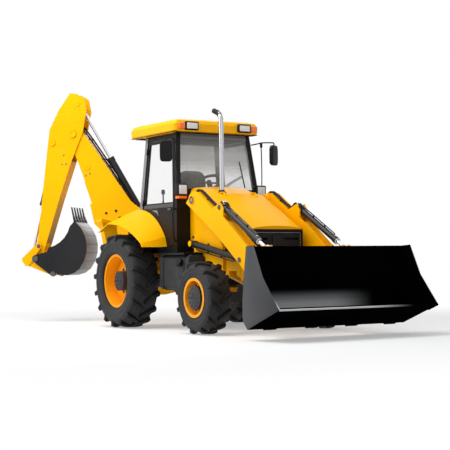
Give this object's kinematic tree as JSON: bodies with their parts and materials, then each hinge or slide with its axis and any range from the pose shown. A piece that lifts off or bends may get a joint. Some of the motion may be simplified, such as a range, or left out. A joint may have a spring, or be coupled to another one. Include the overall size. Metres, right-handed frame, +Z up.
{
  "type": "backhoe loader",
  "caption": "Wheeled tractor with glazed cab, hinged front loader arms and bucket, and a slewing rear digging arm with boom, dipper, bucket and fold-down stabiliser legs.",
  "frame": {"origin": "middle of the footprint's bounding box, on the ground under the tyres", "axes": "+X forward to the loader bucket, +Y to the left, +Z up"},
  "size_m": [7.0412, 2.6252, 3.6098],
  "materials": {
    "yellow_paint": "gloss",
    "black_paint": "satin",
    "dark_grey_paint": "satin",
    "grey_paint": "satin",
    "cast_iron": "rough cast",
    "chrome": "polished",
    "tyre_rubber": "matt",
    "clear_glass": "clear",
    "black_plastic": "fine grain",
    "roof_plastic": "smooth",
    "lamp_plastic": "moulded",
    "amber_plastic": "moulded",
    "seat_cover": "woven"
  },
  "bodies": {
    "machine": {"chassis_frame": "yellow_paint", "rear_axle": "grey_paint", "engine": "cast_iron", "transmission": "cast_iron", "front_axle": "grey_paint", "cowl": "yellow_paint", "exhaust_stack": "chrome", "grille": "black_plastic", "wing_right": "yellow_paint", "wing_left": "yellow_paint", "cab_frame": "black_paint", "windscreen": "clear_glass", "rear_window": "clear_glass", "cab_roof": "roof_plastic", "seat": "seat_cover", "controls": "black_plastic", "lamps": "lamp_plastic", "indicators": "amber_plastic", "mirrors": "black_plastic", "tank_right": "dark_grey_paint", "tank_left": "dark_grey_paint", "steps": "black_paint", "rear_frame": "yellow_paint"},
    "bonnet": {"bonnet": "yellow_paint"},
    "door_right": {"door_right": "black_paint", "door_glass_right": "clear_glass"},
    "knuckle_right": {"knuckle_right": "grey_paint"},
    "wheel_rear_right": {"tyre_rear_right": "tyre_rubber", "rim_rear_right": "yellow_paint"},
    "wheel_front_right": {"tyre_front_right": "tyre_rubber", "rim_front_right": "yellow_paint"},
    "stabiliser_right": {"stabiliser_right": "yellow_paint"},
    "door_left": {"door_left": "black_paint", "door_glass_left": "clear_glass"},
    "knuckle_left": {"knuckle_left": "grey_paint"},
    "wheel_rear_left": {"tyre_rear_left": "tyre_rubber", "rim_rear_left": "yellow_paint"},
    "wheel_front_left": {"tyre_front_left": "tyre_rubber", "rim_front_left": "yellow_paint"},
    "stabiliser_left": {"stabiliser_left": "yellow_paint"},
    "loader_arms": {"loader_arms": "yellow_paint"},
    "loader_bucket": {"loader_bucket": "black_paint"},
    "tilt_levers": {"tilt_levers": "yellow_paint"},
    "tilt_links": {"tilt_links": "yellow_paint"},
    "lift_barrels": {"lift_barrels": "black_paint"},
    "lift_rods": {"lift_rods": "chrome"},
    "tilt_barrels": {"tilt_barrels": "black_paint"},
    "tilt_rods": {"tilt_rods": "chrome"},
    "kingpost": {"kingpost": "yellow_paint"},
    "boom": {"boom": "yellow_paint"},
    "dipper": {"dipper": "yellow_paint"},
    "dig_bucket": {"dig_bucket": "black_paint"},
    "tip_lever": {"tip_lever": "yellow_paint"},
    "tip_link": {"tip_link": "yellow_paint"},
    "boom_ram_barrel": {"boom_ram_barrel": "black_paint"},
    "boom_ram_rod": {"boom_ram_rod": "chrome"},
    "dipper_ram_barrel": {"dipper_ram_barrel": "black_paint"},
    "dipper_ram_rod": {"dipper_ram_rod": "chrome"},
    "dig_ram_barrel": {"dig_ram_barrel": "black_paint"},
    "dig_ram_rod": {"dig_ram_rod": "chrome"}
  },
  "joints": [
    {"name": "bonnet_hinge", "type": "hinge", "parent": "machine", "child": "bonnet", "pos_m": [0.84664, 0.13764, 1.852], "axis": [0, -1, 0], "range_deg": [0, 55]},
    {"name": "door_right_hinge", "type": "hinge", "parent": "machine", "child": "door_right", "pos_m": [-0.59186, -0.55736, 1.7655], "axis": [-0.033, -0.085, -0.9958], "range_deg": [0, 85]},
    {"name": "door_left_hinge", "type": "hinge", "parent": "machine", "child": "door_left", "pos_m": [-0.59186, 0.83264, 1.7655], "axis": [0.033, -0.085, 0.9958], "range_deg": [0, 85]},
    {"name": "steer_right", "type": "hinge", "parent": "machine", "child": "knuckle_right", "pos_m": [1.45964, -0.60236, 0.469], "axis": [0, 0, 1], "range_deg": [-30, 30]},
    {"name": "steer_left", "type": "hinge", "parent": "machine", "child": "knuckle_left", "pos_m": [1.45964, 0.87764, 0.469], "axis": [0, 0, 1], "range_deg": [-30.5, 30.5]},
    {"name": "wheel_rear_right_spin", "type": "hinge", "parent": "machine", "child": "wheel_rear_right", "pos_m": [-0.71036, -0.77736, 0.666], "axis": [0, 1, 0], "continuous": true},
    {"name": "wheel_front_right_spin", "type": "hinge", "parent": "knuckle_right", "child": "wheel_front_right", "pos_m": [1.45964, -0.79236, 0.469], "axis": [0, 1, 0], "continuous": true},
    {"name": "wheel_rear_left_spin", "type": "hinge", "parent": "machine", "child": "wheel_rear_left", "pos_m": [-0.71036, 1.05264, 0.666], "axis": [0, 1, 0], "continuous": true},
    {"name": "wheel_front_left_spin", "type": "hinge", "parent": "knuckle_left", "child": "wheel_front_left", "pos_m": [1.45964, 1.06764, 0.469], "axis": [0, 1, 0], "continuous": true},
    {"name": "loader_lift", "type": "hinge", "parent": "machine", "child": "loader_arms", "pos_m": [0.74664, 0.13764, 1.753], "axis": [0, -1, 0], "range_deg": [-2, 80]},
    {"name": "loader_tilt", "type": "hinge", "parent": "loader_arms", "child": "loader_bucket", "pos_m": [2.67464, 0.13764, 0.33], "axis": [0, -1, 0], "range_deg": [-95, 15]},
    {"name": "lift_swing", "type": "hinge", "parent": "machine", "child": "lift_barrels", "pos_m": [0.64964, 0.13764, 1.17], "axis": [0, -1, 0], "range_deg": [-1.94, 65.84]},
    {"name": "lift_stroke", "type": "slide", "parent": "lift_barrels", "child": "lift_rods", "axis": [0.9844, 0, -0.1758], "range_m": [-0.01822, 0.65083]},
    {"name": "tilt_lever_swing", "type": "hinge", "parent": "loader_arms", "child": "tilt_levers", "pos_m": [2.36964, 0.13764, 0.62], "axis": [0, -1, 0], "range_deg": [-95.3, 15.3]},
    {"name": "tilt_link_swing", "type": "hinge", "parent": "tilt_levers", "child": "tilt_links", "pos_m": [2.41964, 0.13764, 1.08], "axis": [0, -1, 0], "range_deg": [-15.3, 95.3]},
    {"name": "tilt_swing", "type": "hinge", "parent": "loader_arms", "child": "tilt_barrels", "pos_m": [1.43964, 0.13764, 1.625], "axis": [0, -1, 0], "range_deg": [-9.57, 1.76]},
    {"name": "tilt_stroke", "type": "slide", "parent": "tilt_barrels", "child": "tilt_rods", "axis": [0.8739, 0, -0.486], "range_m": [-0.10357, 0.64529]},
    {"name": "slew", "type": "hinge", "parent": "machine", "child": "kingpost", "pos_m": [-2.07036, 0.13764, 0.9], "axis": [0, 0, 1], "range_deg": [-135, 45]},
    {"name": "boom_swing", "type": "hinge", "parent": "kingpost", "child": "boom", "pos_m": [-2.28249, -0.07449, 0.75], "axis": [-0.7071, 0.7071, 0], "range_deg": [-105, 0]},
    {"name": "dipper_swing", "type": "hinge", "parent": "boom", "child": "dipper", "pos_m": [-2.79868, -0.59068, 2.96], "axis": [-0.7071, 0.7071, 0], "range_deg": [0, 115]},
    {"name": "dig_bucket_swing", "type": "hinge", "parent": "dipper", "child": "dig_bucket", "pos_m": [-3.23002, -1.02202, 1], "axis": [-0.7071, 0.7071, 0], "range_deg": [0, 170]},
    {"name": "boom_ram_swing", "type": "hinge", "parent": "kingpost", "child": "boom_ram_barrel", "pos_m": [-2.19764, 0.01036, 1.05], "axis": [-0.7071, 0.7071, 0], "range_deg": [-103.15, 0]},
    {"name": "boom_ram_stroke", "type": "slide", "parent": "boom_ram_barrel", "child": "boom_ram_rod", "axis": [-0.2898, -0.2898, 0.9122], "range_m": [0, 0.51048]},
    {"name": "dipper_ram_swing", "type": "hinge", "parent": "boom", "child": "dipper_ram_barrel", "pos_m": [-2.02794, 0.18006, 1.7], "axis": [-0.7071, 0.7071, 0], "range_deg": [0, 3.98]},
    {"name": "dipper_ram_stroke", "type": "slide", "parent": "dipper_ram_barrel", "child": "dipper_ram_rod", "axis": [-0.355, -0.355, 0.8649], "range_m": [-0.841, 0]},
    {"name": "dig_ram_swing", "type": "hinge", "parent": "dipper", "child": "dig_ram_barrel", "pos_m": [-3.0391, -0.8311, 2.83], "axis": [-0.7071, 0.7071, 0], "range_deg": [-1.48, 0]},
    {"name": "dig_ram_stroke", "type": "slide", "parent": "dig_ram_barrel", "child": "dig_ram_rod", "axis": [-0.1561, -0.1561, -0.9753], "range_m": [-0.62731, 0]},
    {"name": "tip_lever_swing", "type": "hinge", "parent": "dipper", "child": "tip_lever", "pos_m": [-3.20173, -0.99373, 1.2], "axis": [-0.7071, 0.7071, 0], "range_deg": [0, 137.94]},
    {"name": "tip_link_swing", "type": "hinge", "parent": "dig_bucket", "child": "tip_link", "pos_m": [-3.02496, -0.81696, 0.76], "axis": [-0.7071, 0.7071, 0], "range_deg": [-57.56, 0]},
    {"name": "stabiliser_right_swing", "type": "hinge", "parent": "machine", "child": "stabiliser_right", "pos_m": [-1.66536, -0.42236, 0.62], "axis": [1, 0, 0], "range_deg": [0, 113]},
    {"name": "stabiliser_left_swing", "type": "hinge", "parent": "machine", "child": "stabiliser_left", "pos_m": [-1.66536, 0.69764, 0.62], "axis": [-1, 0, 0], "range_deg": [0, 113]}
  ],
  "couplings": [
    {"joint": "steer_left", "follows": "steer_right", "ratio": 1},
    {"joint": "lift_swing", "follows": "loader_lift", "ratio": 0.81931},
    {"joint": "lift_stroke", "follows": "loader_lift", "m_per_rad": 0.46469},
    {"joint": "tilt_lever_swing", "follows": "loader_tilt", "ratio": 1},
    {"joint": "tilt_link_swing", "follows": "loader_tilt", "ratio": -1},
    {"joint": "tilt_swing", "follows": "loader_tilt", "ratio": 0.097587},
    {"joint": "tilt_stroke", "follows": "loader_tilt", "m_per_rad": -0.38798},
    {"joint": "boom_ram_swing", "follows": "boom_swing", "ratio": 0.97955},
    {"joint": "boom_ram_stroke", "follows": "boom_swing", "m_per_rad": -0.27746},
    {"joint": "dipper_ram_swing", "follows": "dipper_swing", "ratio": 0.032},
    {"joint": "dipper_ram_stroke", "follows": "dipper_swing", "m_per_rad": -0.41801},
    {"joint": "dig_ram_swing", "follows": "dig_bucket_swing", "ratio": -0.006948},
    {"joint": "dig_ram_stroke", "follows": "dig_bucket_swing", "m_per_rad": -0.21075},
    {"joint": "tip_lever_swing", "follows": "dig_bucket_swing", "ratio": 0.80846},
    {"joint": "tip_link_swing", "follows": "dig_bucket_swing", "ratio": -0.33565}
  ]
}
